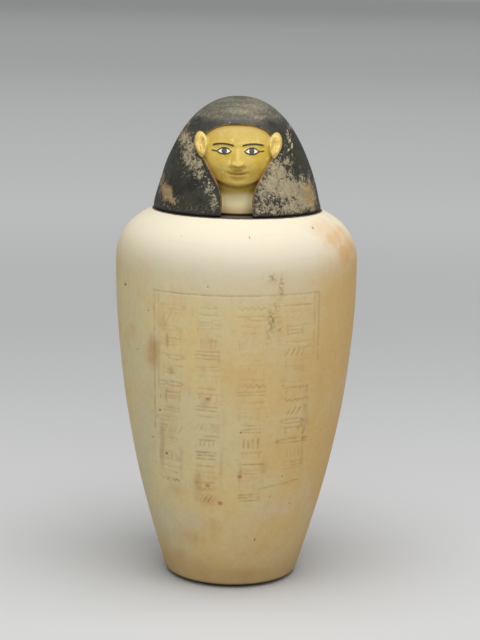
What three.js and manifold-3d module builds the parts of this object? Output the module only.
// A canopic jar: a hollow limestone jar with a rounded shoulder and a narrow foot, and a lid
// carved from wood as a human head under a smooth bell-shaped wig.
// Millimetres, +Z up, origin at the centre of the underside, face towards -Y.
// Two pieces: the jar, and the lid, which rests on the rim with its plug in the mouth.

import * as THREE from 'three';
import { mergeVertices } from 'three/addons/utils/BufferGeometryUtils.js';
import Module from 'manifold-3d';

const wasm = await Module();
wasm.setup();

// ---------------------------------------------------------------- driving dimensions

// Jar, outside
const JAR_HEIGHT = 270;
const JAR_RADIUS = 87; //          at the widest point
const WIDEST_Z = 232; //           height of the widest point, where flank turns to shoulder
const FOOT_RADIUS = 47; //         where the flank's line would reach the ground
const FOOT_ROUND = 7.5; //         rounding of the foot's edge
const RIM_RADIUS = 60; //          outer edge of the flat rim
const SHOULDER_LIFT = 11; //       how far the shoulder starts straight up
const SHOULDER_SWEEP = 27; //      how far the rim's slope is carried outwards
const SHOULDER_SLOPE = THREE.MathUtils.degToRad(23.5);

// Jar, inside
const WALL = 14;
const FLOOR = 24;
const FLOOR_ROUND = 12;
const MOUTH_RADIUS = 44;
const MOUTH_DEPTH = 13; //         height of the straight mouth
const MOUTH_ROUND = 1.5;

// Lid
const LID_GAP = 0.3; //            clearance between lid and rim
const TOP_Z = 350;
const LID_RADIUS = 60.4;
const LID_EDGE_ROUND = 2;
const BELL_SIDE = 43.5; //         radius of the bell's upper side handle
const BELL_CROWN = 9.3; //         radius of the bell's crown handle
const PLUG_RADIUS = 42;
const PLUG_DEPTH = 12;
const PLUG_CHAMFER = 1.5;

// Face: hairline, brow, nose base and chin share the face's height in equal thirds
const HAIRLINE_Z = 332.5;
const CHIN_Z = 290;
const FACE_THIRD = (HAIRLINE_Z - CHIN_Z) / 3;
const BROW_Z = HAIRLINE_Z - FACE_THIRD;
const NOSE_Z = CHIN_Z + FACE_THIRD;
const MOUTH_Z = NOSE_Z - FACE_THIRD / 3;
const EYE_Z = BROW_Z - FACE_THIRD * 0.27;
const FACE_HALF = 24; //           half the face's width at the cheekbones
const EYE_X = FACE_HALF * 0.4; //  five eye-widths make the face's width
const FACE_DEPTH = 47.5; //        the cheek plane's reach in front of the axis
const BROW_SLOPE = 14.7; //        how far the forehead falls back up to the hairline
const SIDE_TURN = 8.5; //          how far the cheeks fall back at the face's half-width
const CHIN_STEP = 2.2; //          how far the chin stands out
const THROAT_DEPTH = 41;
const THROAT_FLARE = 2.5; //       how far the throat comes forward again at the lid's edge

// Ears
const EAR = { x: 25.8, z: 318.5, width: 5.2, thick: 2.7, height: 8.6 };
const EAR_PROUD = 1; //            how far the ear's middle stands before the wig
const EAR_TURN = THREE.MathUtils.degToRad(30);
const EAR_LEAN = THREE.MathUtils.degToRad(8);

// Facets
const JAR_SIDES = 48;
const LID_SIDES = 60;
const FACE_STEP = 1.6;

const LID_Z = JAR_HEIGHT + LID_GAP;
const v2 = (r, z) => new THREE.Vector2(r, z);

// ---------------------------------------------------------------- profiles

// Points on an arc of a circle round (r, z), from angle a to angle b, in degrees.
function arc(r, z, radius, a, b, steps) {
  const points = [];
  for (let i = 0; i <= steps; i++) {
    const angle = THREE.MathUtils.degToRad(a + ((b - a) * i) / steps);
    points.push(v2(r + radius * Math.cos(angle), z + radius * Math.sin(angle)));
  }
  return points;
}

// The flank is a parabola: it leaves the widest point upright and draws in towards the foot.
function flankRadius(z) {
  return JAR_RADIUS - (JAR_RADIUS - FOOT_RADIUS) * (1 - z / WIDEST_Z) ** 2;
}

function flank(zFrom, zTo, inset, steps) {
  const points = [];
  for (let i = 0; i <= steps; i++) {
    const z = zFrom + ((zTo - zFrom) * i) / steps;
    points.push(v2(flankRadius(z) - inset, z));
  }
  return points;
}

// Outside of the jar: foot edge, flank, shoulder, up to the rim's outer edge.
function jarOutside() {
  const lean = Math.atan((2 * (JAR_RADIUS - FOOT_RADIUS)) / WIDEST_Z);
  const footTop = FOOT_ROUND * (1 - Math.sin(lean));
  const footCentre = flankRadius(footTop) - FOOT_ROUND * Math.cos(lean);
  const leanDegrees = THREE.MathUtils.radToDeg(lean);
  const shoulder = new THREE.CubicBezierCurve(
    v2(JAR_RADIUS, WIDEST_Z),
    v2(JAR_RADIUS, WIDEST_Z + SHOULDER_LIFT),
    v2(
      RIM_RADIUS + SHOULDER_SWEEP * Math.cos(SHOULDER_SLOPE),
      JAR_HEIGHT - SHOULDER_SWEEP * Math.sin(SHOULDER_SLOPE),
    ),
    v2(RIM_RADIUS, JAR_HEIGHT),
  );
  return [
    ...arc(footCentre, FOOT_ROUND, FOOT_ROUND, -90, -leanDegrees, 3),
    ...flank(footTop, WIDEST_Z, 0, 8).slice(1),
    ...shoulder.getPoints(7).slice(1),
  ];
}

// Inside of the jar, from the mouth down to the floor: a constant wall follows the flank.
function jarInside() {
  const throatZ = JAR_HEIGHT - MOUTH_DEPTH;
  const vault = new THREE.CubicBezierCurve(
    v2(MOUTH_RADIUS, throatZ),
    v2(RIM_RADIUS, throatZ - 2),
    v2(JAR_RADIUS - WALL, WIDEST_Z + SHOULDER_LIFT),
    v2(JAR_RADIUS - WALL, WIDEST_Z - 4),
  );
  const cornerZ = FLOOR + FLOOR_ROUND;
  const cornerRadius = flankRadius(cornerZ) - WALL - FLOOR_ROUND;
  return [
    ...arc(MOUTH_RADIUS + MOUTH_ROUND, JAR_HEIGHT - MOUTH_ROUND, MOUTH_ROUND, 90, 180, 2),
    ...vault.getPoints(4),
    ...flank(WIDEST_Z - 4, cornerZ, WALL, 5).slice(1, -1),
    ...arc(cornerRadius, cornerZ, FLOOR_ROUND, 0, -90, 3),
  ];
}

// The wig's outline from the lid's edge to the crown.
const bell = new THREE.CubicBezierCurve(
  v2(LID_RADIUS, LID_Z),
  v2(BELL_SIDE, TOP_Z),
  v2(BELL_CROWN, TOP_Z),
  v2(0, TOP_Z),
);

// The bell's radius at a height, found by halving the curve's range.
function bellRadius(z) {
  let low = 0;
  let high = 1;
  for (let i = 0; i < 30; i++) {
    const middle = (low + high) / 2;
    if (bell.getPoint(middle).y < z) low = middle;
    else high = middle;
  }
  return bell.getPoint(low).x;
}

// How far the wig's surface reaches in front of the axis at (x, z), or 0 beside it.
function wigDepth(x, z) {
  return Math.sqrt(Math.max(0, bellRadius(z) ** 2 - x * x));
}

// The wig as a solid bell with a rounded lower edge. The edge's round ends on the bell's side.
function bellProfile() {
  const roundTop = LID_Z + LID_EDGE_ROUND;
  const edge = bellRadius(roundTop) - LID_EDGE_ROUND;
  const steps = 13;
  const side = [];
  for (let i = 1; i <= steps; i++) {
    side.push(bell.getPoint(i / steps));
  }
  return [v2(0, LID_Z), ...arc(edge, roundTop, LID_EDGE_ROUND, -90, 0, 3), ...side];
}

// The plug that sits in the jar's mouth. Its narrower top reaches up into the bell.
function plugProfile() {
  const bottom = LID_Z - PLUG_DEPTH;
  return [
    v2(0, bottom),
    v2(PLUG_RADIUS - PLUG_CHAMFER, bottom),
    v2(PLUG_RADIUS, bottom + PLUG_CHAMFER),
    v2(PLUG_RADIUS, LID_Z),
    v2(PLUG_RADIUS - 6, LID_Z),
    v2(PLUG_RADIUS - 6, LID_Z + 2),
    v2(0, LID_Z + 2),
  ];
}

// ---------------------------------------------------------------- solids

const MERGE = 1e-4;

function toManifold(geometry) {
  const bare = geometry.clone();
  bare.deleteAttribute('normal');
  bare.deleteAttribute('uv');
  const merged = mergeVertices(bare, MERGE);
  return new wasm.Manifold(
    new wasm.Mesh({
      numProp: 3,
      vertProperties: new Float32Array(merged.attributes.position.array),
      triVerts: new Uint32Array(merged.index.array),
    }),
  );
}

function toGeometry(manifold) {
  const mesh = manifold.getMesh();
  const geometry = new THREE.BufferGeometry();
  const corners = new Float32Array(mesh.triVerts.length * 3);
  for (let i = 0; i < mesh.triVerts.length; i++) {
    for (let k = 0; k < 3; k++) {
      corners[3 * i + k] = mesh.vertProperties[mesh.numProp * mesh.triVerts[i] + k];
    }
  }
  geometry.setAttribute('position', new THREE.BufferAttribute(corners, 3));
  geometry.computeVertexNormals();
  return geometry;
}

// A LatheGeometry turns round Y; this stands its axis up along Z.
function lathe(points, sides) {
  return new THREE.LatheGeometry(points, sides).rotateX(Math.PI / 2);
}

function jarGeometry() {
  const profile = [v2(0, 0), ...jarOutside(), ...jarInside(), v2(0, FLOOR)];
  return toGeometry(toManifold(lathe(profile, JAR_SIDES)));
}

// ---------------------------------------------------------------- face

const clamp01 = (t) => Math.min(1, Math.max(0, t));
const smooth = (a, b, t) => {
  const s = clamp01((t - a) / (b - a));
  return s * s * (3 - 2 * s);
};
// A soft round swelling of height 1 at (cx, cz), with half-widths wx and wz.
const swelling = (x, z, cx, cz, wx, wz) => Math.exp(-(((x - cx) / wx) ** 2) - ((z - cz) / wz) ** 2);

function nose(ax, z) {
  const down = clamp01((BROW_Z - 1 - z) / (BROW_Z - 1 - NOSE_Z));
  const halfWidth = 2.4 + 1.6 * down;
  const under = smooth(NOSE_Z - 1.2, NOSE_Z + 1, z);
  const ridge = (0.8 + 5 * down ** 1.3) * Math.exp(-((ax / halfWidth) ** 2.4));
  const wings = 2 * swelling(ax, z, 3.7, NOSE_Z + 1.6, 1.9, 1.9);
  return under * (ridge + wings) * smooth(BROW_Z + 3, BROW_Z - 3, z);
}

function lips(ax, z) {
  const upper = 1.9 * swelling(ax, z, 0, MOUTH_Z + 1.3, 6, 1.2);
  const lower = 1.7 * swelling(ax, z, 0, MOUTH_Z - 1.4, 5, 1.4);
  const line = -0.9 * swelling(ax, z, 0, MOUTH_Z, 7, 0.5);
  return upper + lower + line;
}

function eye(ax, z) {
  const socket = -1.7 * swelling(ax, z, EYE_X, EYE_Z + 0.5, 6.2, 4);
  const ball = 1.9 * swelling(ax, z, EYE_X, EYE_Z, 4.6, 2.9);
  const brow = 0.9 * swelling(ax, z, EYE_X, BROW_Z + 0.6, 8, 1.8);
  return socket + ball + brow;
}

// How far the carved front reaches before the axis at (x, z): a domed face over a throat.
function frontDepth(x, z) {
  const ax = Math.abs(x);
  const rise = z > NOSE_Z - 3 ? ((z - NOSE_Z + 3) / (HAIRLINE_Z - NOSE_Z + 3)) ** 2 : 0;
  const fall = z < NOSE_Z - 3 ? ((NOSE_Z - 3 - z) / 10) ** 2 : 0;
  const dome = FACE_DEPTH - BROW_SLOPE * rise - fall;
  const turn = SIDE_TURN * (ax / FACE_HALF) ** 2.3;
  const chin = CHIN_STEP * swelling(ax, z, 0, CHIN_Z + 2.6, 6.5, 4);
  const cheeks = 1.2 * swelling(ax, z, FACE_HALF / 2, NOSE_Z, 8, 7);
  const face = dome - turn + chin + cheeks + nose(ax, z) + lips(ax, z) + eye(ax, z);
  const flare = THROAT_FLARE * smooth(CHIN_Z - 4, LID_Z, z);
  const throat = THROAT_DEPTH - 3.5 * (ax / 12) ** 2 + flare;
  const jawZ = CHIN_Z - 0.6 + 0.018 * ax * ax;
  const aboveJaw = smooth(jawZ - 1.6, jawZ + 2.2, z);
  return throat + (face - throat) * aboveJaw;
}

// The carved front as a block: its face is the relief, and the rest of it lies in the wig.
const BLOCK_HALF = 28;
const BLOCK_TOP = 334;
const BLOCK_BACK = -8;

function faceBlock() {
  const height = BLOCK_TOP - LID_Z;
  const columns = 2 * Math.round(BLOCK_HALF / FACE_STEP);
  const rows = Math.round(height / FACE_STEP);
  const block = new THREE.BoxGeometry(2 * BLOCK_HALF, 2, height, columns, 1, rows);
  block.translate(0, 0, LID_Z + height / 2);
  const position = block.attributes.position;
  for (let i = 0; i < position.count; i++) {
    const isFront = position.getY(i) < 0;
    const x = position.getX(i);
    const z = position.getZ(i);
    const insideWig = Math.max(wigDepth(x, z) - 1, -BLOCK_BACK + 1);
    const isMiddle = Math.abs(x) < 12 && z < BROW_Z;
    const depth = isMiddle ? frontDepth(x, z) : Math.min(frontDepth(x, z), insideWig);
    position.setY(i, isFront ? -depth : BLOCK_BACK);
  }
  return toManifold(block);
}

// The gap in the wig: straight beside the throat, widening along the jaw to the ears, and
// closed by the hairline over the brow. Half-widths and heights, from the bottom up.
const THROAT_HALF = 10.7;

function faceOpening() {
  const half = [
    [THROAT_HALF, 281],
    [13, 291],
    [20.6, 304],
    [25.5, 313],
    [25.5, 320],
    [20.5, 327],
    [11, 331.4],
  ].map(([x, z]) => v2(x, z));
  const mirrored = half.map((p) => v2(-p.x, p.y)).reverse();
  const below = LID_Z - PLUG_DEPTH;
  const straightTop = 276;
  const shape = new THREE.Shape();
  shape.moveTo(-THROAT_HALF, below);
  shape.lineTo(THROAT_HALF, below);
  shape.lineTo(THROAT_HALF, straightTop);
  shape.splineThru([...half, v2(0, HAIRLINE_Z), ...mirrored, v2(-THROAT_HALF, straightTop)]);
  shape.closePath();
  const prism = new THREE.ExtrudeGeometry(shape, {
    depth: 2 * LID_RADIUS,
    bevelEnabled: false,
    curveSegments: 3,
    steps: 1,
  });
  return toManifold(prism.translate(0, 0, 4 - BLOCK_BACK).rotateX(Math.PI / 2));
}

// An ear: a flattened egg with a raised rim round a hollow, set against the wig.
function ear(side) {
  const shell = new THREE.SphereGeometry(1, 18, 12);
  const position = shell.attributes.position;
  for (let i = 0; i < position.count; i++) {
    const u = position.getX(i);
    const v = position.getY(i);
    const w = position.getZ(i);
    const lobe = 1 - 0.22 * smooth(0.1, -1, w);
    const hollow = v < 0 ? 0.62 * swelling(u, w, 0.05, 0.12, 0.42, 0.45) : 0;
    position.setXYZ(i, u * EAR.width * lobe, v * EAR.thick * (1 - hollow), w * EAR.height);
  }
  const y = -wigDepth(EAR.x, EAR.z) - EAR_PROUD;
  shell.rotateY(EAR_LEAN).rotateZ(EAR_TURN).translate(EAR.x, y, EAR.z);
  const solid = toManifold(shell);
  return side > 0 ? solid : solid.mirror([1, 0, 0]);
}

function lidGeometry() {
  const wig = toManifold(lathe(bellProfile(), LID_SIDES)).subtract(faceOpening());
  const plug = toManifold(lathe(plugProfile(), LID_SIDES));
  return toGeometry(wig.add(faceBlock()).add(ear(1)).add(ear(-1)).add(plug));
}

// ---------------------------------------------------------------- pieces

function piece(name, geometry, material) {
  const mesh = new THREE.Mesh(geometry, new THREE.MeshStandardMaterial(material));
  mesh.name = name;
  return mesh;
}

const canopicJar = new THREE.Group();
canopicJar.add(
  piece('jar_body', jarGeometry(), { color: 0xcdb98c, roughness: 0.55, metalness: 0 }),
  piece('head_lid', lidGeometry(), { color: 0x4a4638, roughness: 0.7, metalness: 0 }),
);

export default canopicJar;
